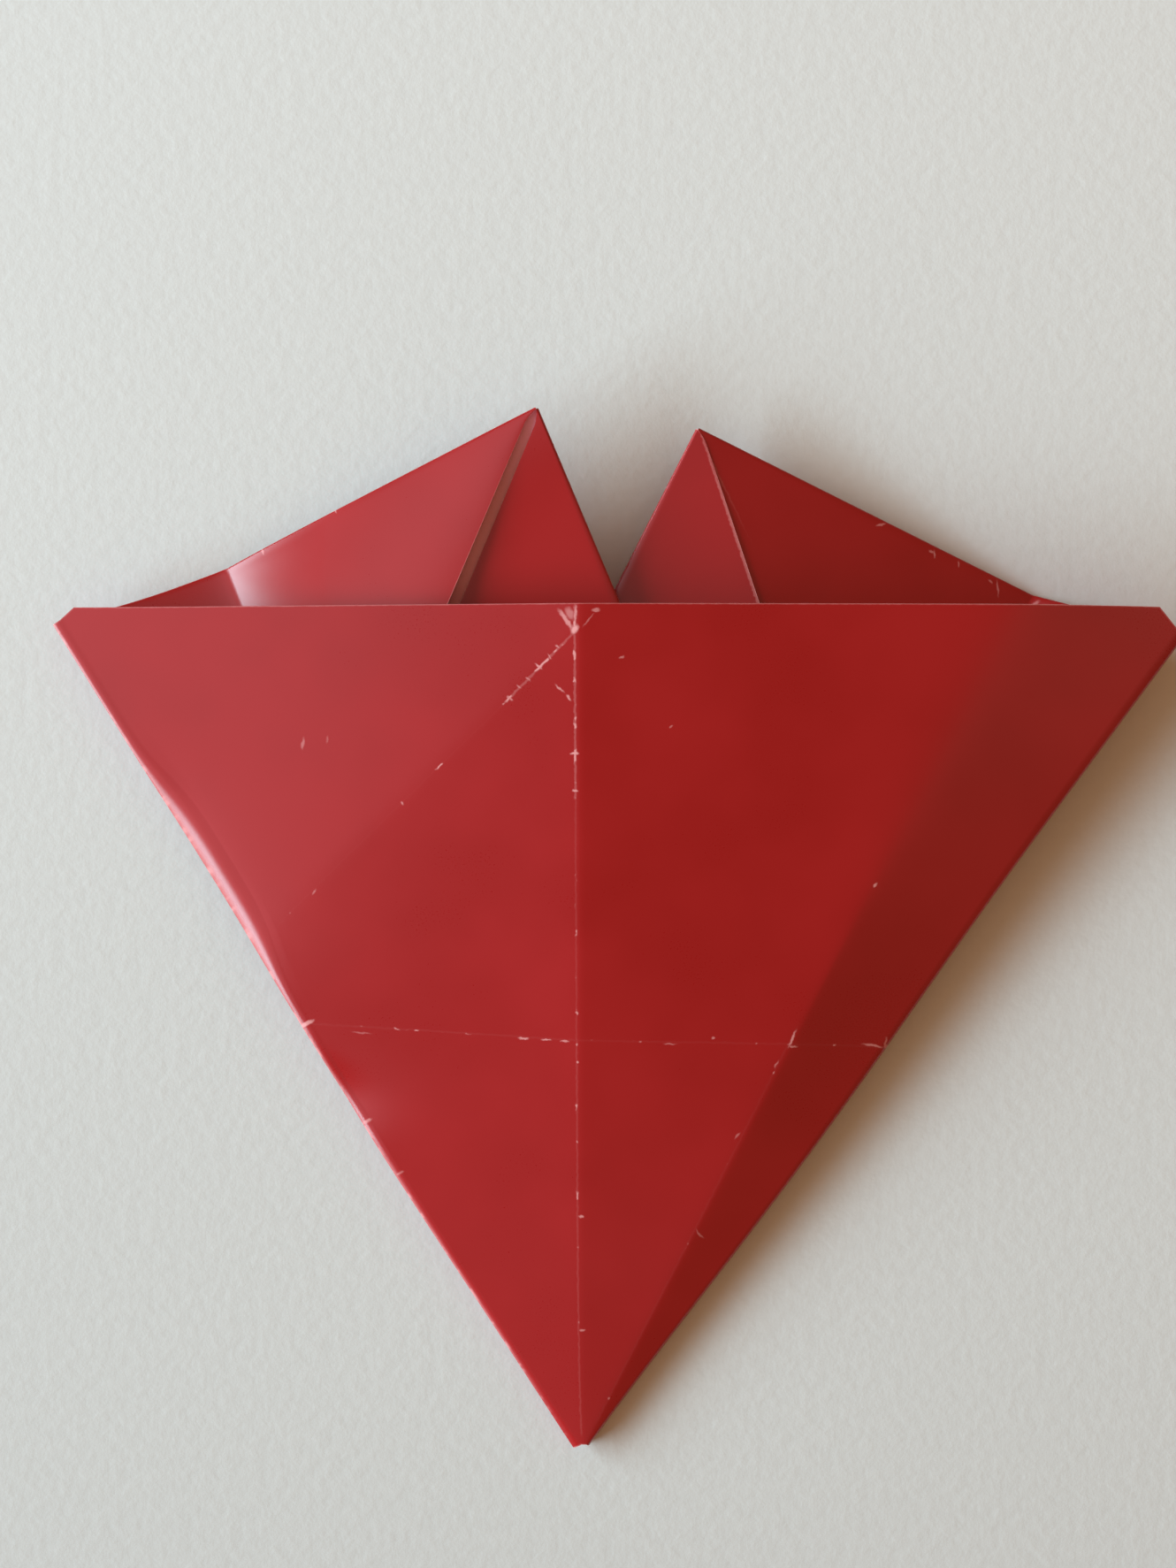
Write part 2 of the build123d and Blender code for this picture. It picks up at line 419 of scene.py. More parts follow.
class FacePlan:
    """Heights of the front face over the plan."""

    def __init__(self, s, base):
        top = s.bottom_edge + s.sheet_width
        self.base = base
        self.left = fan_slope(top, s.left_fold, s.left_fold_lift, 0.0, s.ridge_lift)
        self.middle = fan_slope(top, 0.0, s.ridge_lift, s.face_crease, s.face_crease_lift)
        self.right = fan_slope(top, s.face_crease, s.face_crease_lift, s.right_fold, s.right_fold_lift)
        self.crease_side = ray(s.face_crease + math.pi / 2)
        self.left_side = ray(s.left_fold + math.pi / 2)

    def heights(self, plan):
        """Roof of three facets, the least of their planes, with rounded creases and the sheet's small bends.

        The long crease right of the ridge fades into a broad bend towards the top edge, past which the paper
        straightens again by a parabola. The face also bends down past the diagonal crease and a little at the
        level one. It rolls down at one place of the left side fold, by a bell curve along it that dies away
        from it. Its left half twists down towards the left corner, and two crossed sine waves ripple it.
        """
        x, y = plan[..., 0], plan[..., 1]
        ridge = soft_min(plan @ self.left, plan @ self.middle, RIDGE_ROUNDING)
        fade = smooth_step(*CREASE_FADE, y)
        roof = soft_min(ridge, plan @ self.right, CREASE_ROUNDING + CREASE_SPREAD * fade)
        past = plan @ self.crease_side
        straighten = STRAIGHTEN_BEND * np.clip(past - STRAIGHTEN_FROM, 0, None) ** 2 * fade
        diagonal = DIAGONAL_SLOPE * soft_ramp((plan - DIAGONAL_POINT) @ DIAGONAL_SIDE, DIAGONAL_ROUNDING)
        level_line = LEVEL_SLOPE * soft_ramp(LEVEL_HEIGHT - y, LEVEL_ROUNDING) * smooth_step(*LEVEL_FADE, y)
        along_fold = np.exp(-(((y - ROLL_HEIGHT) / ROLL_LENGTH) ** 2))
        roll = ROLL_DEPTH * np.exp(-(plan @ self.left_side) / ROLL_WIDTH) * along_fold
        ripples = np.sin(95 * x + 40 * y) * np.sin(70 * y - 55 * x + 0.6)
        waves = WAVE_HEIGHT * ripples * smooth_step(*WAVE_FADE, y)
        twist = TWIST_SLOPE * np.clip(-x, 0, None) * smooth_step(*TWIST_FADE, y)
        return self.base + roof + straighten - diagonal - level_line - roll - twist + waves


def loop(lower_edge, upper_edge, outward, steps, reach, nose=0.5, power=1.0):
    """Loop of paper from one layer's edge to the edge above it.

    The nose is at a share of the way up. Each point is the nose's foot, plus the way from it to an edge times
    a power of the sine of an angle from minus to plus a quarter turn, plus the reach outwards times its
    cosine. Power 1 gives part of an ellipse, and 2 gives two parabolas that meet in a sharp nose. Returns
    points and cosines.
    """
    angle = np.linspace(-math.pi / 2, math.pi / 2, steps + 1)[1:-1]
    rise = upper_edge - lower_edge
    out = np.append(outward, 0.0)
    sine = np.abs(np.sin(angle)) ** power
    nose = np.reshape(nose, (-1, 1))
    height = nose + np.where(angle > 0, (1 - nose) * sine, -nose * sine)
    points = (
        lower_edge[:, None]
        + rise[:, None] * height[..., None]
        + np.reshape(reach, (-1, 1, 1)) * np.cos(angle)[None, :, None] * out
    )
    return points, np.broadcast_to(np.cos(angle), points.shape[:2])


def draw_in(points, inward, amounts):
    """Draws the rows of a patch away from a fold line through the tip, by amounts that fade past it."""
    away = np.clip(points[..., :2] @ inward, 0, None)
    points[..., :2] += (amounts[:, None] * np.exp(-away / DRAW_FADE))[..., None] * inward


def with_heights(plan, heights):
    """Plan points and their heights as points in space."""
    return np.dstack([plan, heights])


class Patch:
    """A grid of the sheet: points in space, flat points and how near each is to the crest of a fold."""

    def __init__(self, points, flat, crest):
        self.points = points
        self.flat = flat
        self.crest = crest


def no_crest(points):
    """Crest values of a grid that has no fold in it."""
    return np.zeros(points.shape[:2])


def side_by_side(*grids):
    """One grid from grids with the same rows."""
    return np.concatenate(grids, axis=1)


def strip_patch(strip, shares, half_paper, edge_drop):
    """A strip's grid. Heights are those of its two planes, less the drop of the face's edge at the side fold.

    The drop fades out across the side facet.
    """
    lower, upper = strip_columns(strip)
    side_part = eased(SIDE_STEPS, SIDE_EASE)
    upper[: SIDE_STEPS + 1, 1] -= strip.sag * np.sin(math.pi * side_part ** 0.7)
    flat = rows_between(lower, upper, shares)
    plan = strip.behind(flat)
    columns = flat.shape[1]
    in_side = np.arange(columns) <= SIDE_STEPS
    height = np.where(in_side[None], plan @ strip.side_slope, plan @ strip.main_slope)
    fading = np.clip(1 - np.arange(columns) / SIDE_STEPS, 0, 1)
    height = strip.base + half_paper + height - edge_drop[:, None] * fading[None]
    return with_heights(plan, height + strip.lobe_lift(plan) + strip.slit_swell(plan)), flat


def face_columns(left, right, s):
    """Flat lower and upper ends of the face's columns, from the left side fold to the right one.

    The upper ends follow the cut corners and the top edge. Each column lies on a line through the tip.
    """
    top = left.top
    ridge_top = level_with(top, 0.0)
    crease_top = level_with(top, s.face_crease)
    upper = np.vstack([
        between(left.corner, left.shoulder, eased(CUT_STEPS, 0.0)),
        between(left.shoulder, ridge_top, eased(LEFT_STEPS, FACE_EASE))[1:],
        between(ridge_top, crease_top, eased(MIDDLE_STEPS, FACE_EASE))[1:],
        between(crease_top, right.shoulder, eased(RIGHT_STEPS, RIGHT_EASE))[1:],
        between(right.shoulder, right.corner, eased(CUT_STEPS, 0.0))[1:],
    ])
    return upper * (s.bottom_edge / upper[:, 1:]), upper


def flap_far_edge(start, corner, peak, slit_step, shares, corner_share):
    """Free edge of a flap: from start to its corner, then along the slit to the peak.

    The slit's width grows from nothing at the peak to its full width within a short length.
    """
    first = np.clip(shares / corner_share, 0, 1)[:, None]
    second = np.clip((shares - corner_share) / (1 - corner_share), 0, 1)[:, None]
    length = np.linalg.norm(peak - corner)
    open_share = np.clip((1 - second) * length / SLIT_OPENING, 0, 1)
    edge = start + (corner - start) * first + (peak - corner) * second
    return edge + slit_step * (open_share ** 0.7 - 1) * (second > 0)


def flap_patch(strip, hinge, far, slopes, outward, camber, fold):
    """A flap's grid: the loop of its fold, then lines from the hinge to the free edge.

    hinge holds the edge of the strip in space, far the free edge in plan, slopes a slope for each line and
    fold the two ends of the flat fold. The lines bulge by the camber, a parabola that is less on short lines.
    """
    lifted = hinge + np.array([0, 0, strip.flap_rise])
    bend, crest = loop(hinge, lifted, outward, FLAP_LOOP_STEPS, FLAP_REACH * strip.flap_rise)
    across = np.linspace(0, 1, FLAP_ROWS + 1)
    plan = rows_between(lifted[:, :2], far, across)
    length = np.linalg.norm(far - lifted[:, :2], axis=1)
    bulge = camber * np.outer(4 * across * (1 - across), length / length.max())
    flat_part = with_heights(plan, flap_heights(strip, lifted, slopes, plan) + bulge)
    points = np.concatenate([hinge[None], bend.transpose(1, 0, 2), flat_part])
    crests = np.concatenate([np.zeros((1, len(hinge))), crest.T, no_crest(flat_part)])
    return Patch(points, mirrored(strip.behind(points[..., :2]), *fold), crests)


def flap_heights(strip, lifted, slopes, plan):
    """Heights of a flap: its hinge's height, a slope times the way out and its lobe's spring."""
    way = plan - lifted[None, :, :2]
    spring = strip.lobe_lift(plan) - strip.lobe_lift(lifted[:, :2])[None]
    return lifted[None, :, 2] + np.einsum("rci,ci->rc", way, slopes) + spring


def outward_from(start, end, inside):
    """Unit vector of the plan square to the line from start to end, away from the inside point."""
    along = (end - start) / np.linalg.norm(end - start)
    out = np.array([along[1], -along[0]])
    return out if out @ (start - inside) > 0 else -out


def inner_flap(strip, hinge):
    """The lower corner, turned in along the lobe's inner edge."""
    across = ray(strip.slit_angle + math.pi / 2) * strip.side
    step = across * (strip.overlap - strip.slit / 2)
    corner = strip.peak - ray(strip.slit_angle) * (strip.point - strip.bottom) + step
    start, peak = strip.inner, strip.peak
    length = np.linalg.norm(peak - start)
    shares = np.linalg.norm(hinge[:, :2] - start, axis=1) / length
    corner_share = ((corner - start) @ (peak - start)) / length ** 2
    far = flap_far_edge(start, corner, peak + step, step, shares, corner_share)
    outward = outward_from(start, peak, corner)
    slope = sprung_plane(strip.main_slope, [start, peak, corner], strip.inner_spring)[1:]
    slopes = np.broadcast_to(slope, (len(hinge), 2))
    return flap_patch(strip, hinge, far, slopes, outward, 0.0, (strip.flat_inner, strip.flat_peak))


def outer_flap(strip, hinge, clear_columns):
    """The upper corner, turned in along the lobe's outer edge and bent with the strip at its older crease."""
    step = ray(strip.slit_angle + math.pi / 2) * (strip.side * strip.slit / 2)
    corner = strip.peak - ray(strip.slit_angle) * (strip.top - strip.point) + step
    peak = strip.peak
    folded_shoulder = strip.behind(strip.shoulder)
    hem_bend = crossing(corner, folded_shoulder, strip.crease)
    hem_start = crossing(corner, folded_shoulder, strip.fold, -strip.side * strip.clearance)
    split = SIDE_STEPS - clear_columns
    side_hinge, main_hinge = hinge[:split], hinge[split:]
    side_share = np.linalg.norm(side_hinge[:, :2] - hinge[0, :2], axis=1)
    side_share = side_share / np.linalg.norm(strip.bend - hinge[0, :2])
    side_far = between(hem_start, hem_bend, side_share)
    length = np.linalg.norm(peak - strip.bend)
    shares = np.linalg.norm(main_hinge[:, :2] - strip.bend, axis=1) / length
    corner_share = ((corner - strip.bend) @ (peak - strip.bend)) / length ** 2
    main_far = flap_far_edge(hem_bend, corner, peak + step, step, shares, corner_share)
    far = np.vstack([side_far, main_far])
    main_plane = sprung_plane(strip.main_slope, [strip.bend, peak, corner], strip.outer_spring)
    hem_height = main_plane[0] + hem_bend @ main_plane[1:]
    side_plane = plane_through(
        [strip.corner, strip.bend, hem_bend],
        [strip.corner @ strip.side_slope, strip.bend @ strip.side_slope, hem_height],
    )
    slopes = np.vstack([
        np.broadcast_to(side_plane[1:], (len(side_hinge), 2)),
        np.broadcast_to(main_plane[1:], (len(main_hinge), 2)),
    ])
    outward = outward_from(strip.corner, peak, corner)
    return flap_patch(strip, hinge, far, slopes, outward, strip.camber, (strip.corner, strip.flat_peak))


def sheet_patches(s):
    """All grids of the folded sheet: the body, from strip to face to strip, and four flaps."""
    half = s.paper / 2
    shares = eased(ROWS, ROW_EASE)
    left_lifts = (s.left_fold_lift, s.left_crease_lift, s.left_edge_lift)
    left = Strip(s, -1, s.strip_rise, left_lifts)
    right = Strip(s, 1, 0.0, (s.right_fold_lift, 0.0, 0.0))
    face = FacePlan(s, s.strip_rise + s.face_rise + half)

    lower, upper = face_columns(left, right, s)
    face_flat = rows_between(lower, upper, shares)
    face_points = with_heights(face_flat, face.heights(face_flat))
    left_drop = face.base + face_flat[:, 0] @ face.left - face_points[:, 0, 2]
    right_drop = face.base + face_flat[:, -1] @ face.right - face_points[:, -1, 2]
    left_points, left_flat = strip_patch(left, shares, half, left_drop)
    right_points, right_flat = strip_patch(right, shares, half, np.minimum(right_drop, 0))

    left_out = ray(left.fold - math.pi / 2)
    right_out = ray(right.fold + math.pi / 2)
    bow = np.sin(math.pi * np.clip(shares / BOW_SHARE, 0, 1)) ** 2
    fold_height = face_flat[:, 0, 1]
    pressed = np.exp(-(((fold_height - PRESS_HEIGHT) / PRESS_LENGTH) ** 4))
    left_nose = s.left_nose + s.left_press * pressed
    inset = left_nose - s.fold_stand - s.left_bow * bow
    draw_in(face_points, -left_out, inset)
    draw_in(left_points, -left_out, inset)
    right_inset = s.right_nose - s.fold_stand - s.right_bow * bow
    draw_in(face_points, -right_out, right_inset)
    draw_in(right_points, -right_out, right_inset)
    drop = left_nose * (LEFT_DROP + LEFT_DROP_BELOW * smooth_step(*LEFT_DROP_FADE, fold_height))
    nose = np.clip(1 - drop / (face_points[:, 0, 2] - left_points[:, 0, 2]), *LEFT_NOSE_LIMITS)
    left_loop, left_crest = loop(
        left_points[:, 0], face_points[:, 0], left_out, LOOP_STEPS, left_nose, nose, SHARP
    )
    right_loop, right_crest = loop(
        right_points[:, 0], face_points[:, -1], right_out, LOOP_STEPS, s.right_nose, RIGHT_NOSE_HEIGHT, SHARP
    )
    right_loop, right_crest = right_loop[:, ::-1], right_crest[:, ::-1]
    loop_flat = np.ones((1, LOOP_STEPS - 1, 1))

    left_loop_flat = face_flat[:, :1] * loop_flat
    right_loop_flat = face_flat[:, -1:] * loop_flat
    none = no_crest(left_points)
    body = Patch(
        side_by_side(left_points[:, ::-1], left_loop, face_points, right_loop, right_points),
        side_by_side(left_flat[:, ::-1], left_loop_flat, face_flat, right_loop_flat, right_flat),
        side_by_side(none, left_crest, no_crest(face_points), right_crest, none),
    )
    flaps = []
    for strip, points in ((left, left_points), (right, right_points)):
        flaps.append(inner_flap(strip, points[:, -1]))
        flaps.append(outer_flap(strip, points[-1, CLEAR_COLUMNS:], CLEAR_COLUMNS))
    return body, flaps


def grid_faces(rows, columns, first):
    """Corner numbers of a grid's quads, counted from first."""
    index = first + np.arange(rows * columns).reshape(rows, columns)
    corners = [index[:-1, :-1], index[:-1, 1:], index[1:, 1:], index[1:, :-1]]
    return np.stack(corners, axis=-1).reshape(-1, 4)


def sheet_mesh(name, patches):
    """One mesh from all patches, welded where they share an edge, with the flat map and the crest attribute.

    Each patch comes with a flag that says whether its faces are turned over.
    """
    points, flats, crests, faces = [], [], [], []
    first = 0
    for patch, turned in patches:
        rows, columns = patch.points.shape[:2]
        quads = grid_faces(rows, columns, first)
        faces.append(quads[:, ::-1] if turned else quads)
        points.append(patch.points.reshape(-1, 3))
        flats.append(patch.flat.reshape(-1, 2))
        crests.append(patch.crest.reshape(-1))
        first += rows * columns
    points = np.vstack(points)
    points[:, :2] += TIP
    flats = np.vstack(flats)
    faces = np.vstack(faces)
    mesh = bpy.data.meshes.new(name)
    mesh.from_pydata(points, [], faces)
    flat_map = mesh.uv_layers.new(name=FLAT_MAP)
    flat_map.uv.foreach_set("vector", flats[faces.ravel()].astype(np.float32).ravel())
    crest = mesh.attributes.new(CREST, "FLOAT", "POINT")
    crest.data.foreach_set("value", np.concatenate(crests).astype(np.float32))
    weld(mesh)
    mark_raw_edges(mesh)
    return mesh


def weld(mesh):
    """Merges the points that patches share and drops faces with no area."""
    work = bmesh.new()
    work.from_mesh(mesh)
    bmesh.ops.remove_doubles(work, verts=work.verts, dist=0.002 * MM)
    bmesh.ops.dissolve_degenerate(work, dist=0.001 * MM, edges=work.edges)
    work.to_mesh(mesh)
    work.free()


def mark_raw_edges(mesh):
    """Smooths the sheet and marks its raw edges, those of only one face, as sharp and in an attribute."""
    edge_of_corner = np.empty(len(mesh.loops), dtype=np.int32)
    mesh.loops.foreach_get("edge_index", edge_of_corner)
    ends = np.empty(2 * len(mesh.edges), dtype=np.int32)
    mesh.edges.foreach_get("vertices", ends)
    raw = np.bincount(edge_of_corner, minlength=len(mesh.edges)) == 1
    near = np.zeros(len(mesh.vertices), dtype=np.float32)
    near[ends.reshape(-1, 2)[raw]] = 1.0
    mesh.attributes.new(RAW, "FLOAT", "POINT").data.foreach_set("value", near)
    mesh.polygons.foreach_set("use_smooth", np.ones(len(mesh.polygons), dtype=bool))
    mesh.edges.foreach_set("use_edge_sharp", raw)


class Wire:
    """A socket of a node tree. Arithmetic on it adds the Math nodes that work it out."""

    def __init__(self, tree, socket=None):
        self.tree = tree
        self.socket = socket

    def add(self, kind, settings, inputs, output=0):
        """Adds a node of a kind, sets its settings, then its inputs, and returns one of its outputs."""
        node = self.tree.nodes.new(kind)
        for name, value in settings.items():
            setattr(node, name, value)
        for name, value in inputs.items():
            if isinstance(value, Wire):
                self.tree.links.new(value.socket, node.inputs[name])
            else:
                node.inputs[name].default_value = value
        return Wire(self.tree, node.outputs[output] if node.outputs else None)

    def math(self, operation, first, second=0.0):
        """One step of arithmetic."""
        return self.add("ShaderNodeMath", {"operation": operation}, {0: first, 1: second})

    def __add__(self, other):
        return self.math("ADD", self, other)

    __radd__ = __add__

    def __sub__(self, other):
        return self.math("SUBTRACT", self, other)

    def __rsub__(self, other):
        return self.math("SUBTRACT", other, self)

    def __mul__(self, other):
        return self.math("MULTIPLY", self, other)

    __rmul__ = __mul__

    def __abs__(self):
        return self.math("ABSOLUTE", self)

    def above(self, other):
        """The greater of two values."""
        return self.math("MAXIMUM", self, other)

    def other(self, output):
        """Another output of the same node."""
        return Wire(self.tree, self.socket.node.outputs[output])

    def place(self):
        """Object coordinates."""
        return self.add("ShaderNodeTexCoord", {}, {}, output=3)

    def bump(self, height, strength, distance):
        """A normal that follows a height."""
        return self.add("ShaderNodeBump", {}, {"Strength": strength, "Distance": distance, "Height": height})

    def step(self, low, high):
        """0 at low and 1 at high, smooth between. With low above high it falls instead."""
        return self.add(
            "ShaderNodeMapRange",
            {"interpolation_type": "SMOOTHSTEP"},
            {"Value": self, "From Min": low, "From Max": high},
        )

    def noise(self, vector, scale, detail=2.0, roughness=0.5):
        """Noise with a grain of one over scale."""
        return self.add(
            "ShaderNodeTexNoise",
            {},
            {"Vector": vector, "Scale": scale, "Detail": detail, "Roughness": roughness},
        )

    def mix(self, factor, first, second):
        """A colour between two colours."""
        return self.add(
            "ShaderNodeMix",
            {"data_type": "RGBA"},
            {0: factor, 6: first, 7: second},
            output=2,
        )


def rgba(values):
    """A colour with full alpha."""
    return (*values, 1.0)


def new_material(name):
    """An empty node material and the wire that adds nodes to it."""
    material = bpy.data.materials.new(name)
    material.use_nodes = True
    material.node_tree.nodes.clear()
    return material, Wire(material.node_tree)


def finish_material(wire, **inputs):
    """Adds the Principled shader with these inputs and the output."""
    named = {name.replace("_", " "): value for name, value in inputs.items()}
    shader = wire.add("ShaderNodeBsdfPrincipled", {}, named)
    wire.add("ShaderNodeOutputMaterial", {}, {"Surface": shader})


# Creases of the flat sheet, in millimetres from the tip: start, end, half width of the line, strength of its
# unbroken hairline and share of it that has cracked
CREASES = [
    ((-0.5, 72.0), (-0.6, 92.8), 0.10, 0.17, 0.50),
    ((-0.4, 46.0), (-0.5, 72.0), 0.07, 0.05, 0.22),
    ((-0.2, 1.5), (-0.4, 46.0), 0.07, 0.07, 0.20),
    ((-0.7, 89.8), (-8.0, 82.5), 0.11, 0.16, 0.60),
    ((-8.0, 82.5), (-34.1, 57.5), 0.06, 0.01, 0.03),
    ((-30.3, 47.3), (-0.4, 45.6), 0.07, 0.025, 0.25),
    ((-0.4, 45.6), (33.5, 45.0), 0.07, 0.02, 0.18),
    ((1.5, 3.0), (23.6, 47.1), 0.07, 0.02, 0.10),
]

# Single marks of wear, and one painted highlight: middle in flat millimetres, angle from the x axis in
# degrees, half length, half width, strength
MARKS = [
    # Painted highlight: a long pale line along the cut right end of the sheet, the free edge of the right
    # lobe's inner flap, where the light catches it
    (103.3, 24.0, 90, 40.0, 0.24, 0.35),
    (-0.6, 76.9, 0, 0.6, 0.16, 0.9),
    (-0.4, 76.9, 0, 0.3, 0.28, 0.8),
    (-0.5, 72.9, -6, 0.45, 0.16, 0.8),
    (-0.4, 48.6, -79, 0.28, 0.16, 0.6),
    (-0.3, 43.2, -56, 0.22, 0.18, 0.7),
    (-0.3, 34.4, -79, 0.28, 0.15, 0.5),
    (0.1, 26.0, -8, 0.4, 0.25, 0.7),
    (0.2, 13.3, 0, 0.42, 0.18, 0.5),
    (-4.5, 86.3, -35, 0.65, 0.16, 0.7),
    (-2.2, 83.9, -43, 0.9, 0.16, 0.55),
    (-1.2, 82.9, -52, 0.6, 0.2, 0.65),
    (-0.6, 90.2, 70, 0.8, 0.55, 0.95),
    (-1.5, 91.2, -55, 1.8, 0.3, 0.65),
    (-1.1, 91.9, -62, 1.0, 0.6, 0.4),
    (-0.5, 91.8, 90, 1.4, 0.22, 0.6),
    (-2.4, 88.4, -42, 0.4, 0.14, 0.5),
    (-3.3, 87.3, -50, 0.45, 0.14, 0.5),
    (-5.6, 84.9, -38, 0.45, 0.14, 0.45),
    (-6.6, 84.1, -46, 0.4, 0.14, 0.45),
    (-7.6, 82.9, -40, 0.55, 0.18, 0.5),
    (1.7, 92.3, 0, 0.6, 0.28, 0.5),
    (0.9, 91.2, 50, 1.2, 0.14, 0.3),
    (4.5, 87.2, 34, 0.38, 0.15, 0.45),
    (9.8, 79.8, 31, 0.3, 0.13, 0.35),
    (-29.8, 47.4, 21, 0.8, 0.32, 0.75),
    (-23.2, 36.5, 35, 0.65, 0.26, 0.6),
    (-19.6, 30.7, 42, 0.58, 0.22, 0.5),
    (-30.3, 78.0, 80, 0.9, 0.24, 0.35),
    (-27.6, 78.5, 84, 0.55, 0.18, 0.2),
    (-19.4, 71.5, -56, 0.4, 0.16, 0.5),
    (-29.4, 61.6, 48, 0.55, 0.16, 0.35),
    (32.1, 62.6, 45, 0.45, 0.2, 0.8),
    (23.1, 45.8, -114, 1.4, 0.2, 0.75),
    (23.2, 44.9, 0, 0.62, 0.16, 0.6),
    (31.7, 45.2, -7, 1.4, 0.18, 0.6),
    (33.0, 45.5, -99, 0.9, 0.17, 0.45),
    (35.5, 47.9, -9, 0.4, 0.17, 0.35),
    (14.5, 45.9, -34, 0.22, 0.2, 0.5),
    (9.8, 45.2, -3, 0.92, 0.15, 0.35),
    (21.4, 43.0, 62, 0.62, 0.16, 0.4),
    (17.1, 35.1, 55, 0.62, 0.18, 0.35),
    (19.4, 26.2, -35, 0.22, 0.18, 0.5),
    (12.9, 24.2, -51, 0.8, 0.15, 0.35),
    (-6.2, 45.8, -3, 0.78, 0.16, 0.7),
    (-3.7, 45.6, -3, 0.73, 0.16, 0.65),
    (-1.7, 45.5, -4, 0.63, 0.16, 0.6),
    (-24.0, 46.3, -4, 1.42, 0.14, 0.25),
    (-93.1, 60.9, 131, 0.5, 0.18, 0.5),
    (-83.0, 70.9, 132, 0.55, 0.18, 0.5),
    (-76.5, 77.6, 134, 0.55, 0.18, 0.5),
    (89.3, 65.0, 167, 0.7, 0.18, 0.5),
    (85.5, 70.1, 134, 0.42, 0.18, 0.5),
    (85.3, 70.5, 70, 0.6, 0.14, 0.5),
    (83.3, 72.7, 73, 0.45, 0.15, 0.45),
    (80.5, 77.0, 68, 1.2, 0.15, 0.45),
    (77.5, 80.4, 9, 0.8, 0.3, 0.4),
    (80.9, 76.0, 110, 0.35, 0.17, 0.4),
]


def crack(x, y, crease, wear, grain, run):
    """Mask of a crease's hairline and of its cracks.

    The distance from the line, shaken by the grain, against a width that the grain also changes. A slower
    noise says where the hairline has opened into a crack.
    """
    start, end, half_width, hairline, cracked = crease
    length = math.hypot(end[0] - start[0], end[1] - start[1])
    along_x = (end[0] - start[0]) / length
    along_y = (end[1] - start[1]) / length
    dx = x - start[0]
    dy = y - start[1]
    along = dx * along_x + dy * along_y
    shaken = abs(dx * along_y - dy * along_x + (grain - 0.5) * 0.35)
    width = (grain + 0.3) * half_width
    line = (shaken - width).step(0.10, -0.03)
    fade = 0.4
    ends = along.step(-fade, fade) * along.step(length + fade, length - fade)
    opened = 0.32 * cracked * wear
    gaps = run.step(0.66 - opened, 0.74 - opened)
    return line * ends * (gaps * (0.8 - hairline) + hairline)


def mark(wire, place, values):
    """Mask of one mark: 1 at its middle, falling to 0 at the rim of an ellipse."""
    x, y, angle, half_length, half_width, strength = values
    local = wire.add(
        "ShaderNodeMapping",
        {"vector_type": "TEXTURE"},
        {
            "Vector": place,
            "Location": (x, y, 0.0),
            "Rotation": (0.0, 0.0, math.radians(angle)),
            "Scale": (half_length, half_width, 1.0),
        },
    )
    spot = wire.add("ShaderNodeTexGradient", {"gradient_type": "SPHERICAL"}, {"Vector": local}, output=1)
    return spot.step(0.0, 0.7) * strength


def front_material(finish):
    """Coated red paper: faint mottling, satin gloss, fine fibres, pale cracks along the creases, and painted
    highlights on the left crests and the right cut edge.
    """
    material, wire = new_material("red_coated_paper")
    flat = wire.add("ShaderNodeUVMap", {"uv_map": FLAT_MAP}, {})
    scaled = wire.add("ShaderNodeVectorMath", {"operation": "SCALE"}, {0: flat, "Scale": 1000.0})
    x = wire.add("ShaderNodeSeparateXYZ", {}, {0: scaled})
    y = x.other(1)
    grain = wire.noise(scaled, 1.6, 3.0, 0.6)
    run = wire.noise(scaled, 0.55, 2.0, 0.6)
    cloud = wire.noise(scaled, 0.035, 3.0, 0.55)
    fibre = wire.noise(scaled, 4.0, 3.0, 0.6)
    crest = wire.add("ShaderNodeAttribute", {"attribute_name": CREST}, {}, output=2)
    jitter = wire.add(
        "ShaderNodeVectorMath",
        {"operation": "MULTIPLY_ADD"},
        {0: grain.other(1), 1: (0.5, 0.5, 0.0), 2: (-0.25, -0.25, 0.0)},
    )
    shaken = wire.add("ShaderNodeVectorMath", {"operation": "ADD"}, {0: scaled, 1: jitter})

    raw = wire.add("ShaderNodeAttribute", {"attribute_name": RAW}, {}, output=2)
    # Crests of the folds: patches rubbed pale by wear, plus a painted highlight on every crest of the left
    # half, which faces the lamp
    patchy = run.step(0.50, 0.66) * 0.45
    left_crest_highlight = x.step(0.0, -10.0)
    rubbed_and_lit_crests = crest.step(0.65, 1.0) * (patchy + left_crest_highlight * 0.35) * finish.wear
    # Painted highlight: the cut edge below the middle of the right end, the free edge of the right lobe's
    # inner flap, is painted paler where the light catches it
    edge_highlight = x.step(99.0, 101.0) * y.step(50.0, 46.0)
    # bare holds the paper laid bare by wear and the cut edges, and also the painted highlights on the left
    # crests and on the right cut edge
    bare = rubbed_and_lit_crests.above((raw + (grain - 0.5) * 0.3).step(0.7, 1.0) * (edge_highlight * 0.68 + 0.30))
    for crease in CREASES:
        bare = bare.above(crack(x, y, crease, finish.wear, grain, run))
    for values in MARKS:
        bare = bare.above(mark(wire, shaken, values))

    base = wire.mix(cloud.step(0.35, 0.65), rgba(finish.front), rgba(finish.front_light))
    tint = wire.mix(bare, base, rgba(finish.core))
    roughness = (cloud - 0.5) * 0.08 + (fibre - 0.5) * 0.06 + bare * 0.35 + finish.gloss_roughness
    bump = wire.bump(fibre + bare * 2.0, 0.12, 0.02 * MM)
    finish_material(wire, Base_Color=tint, Roughness=roughness, Normal=bump)
    return material


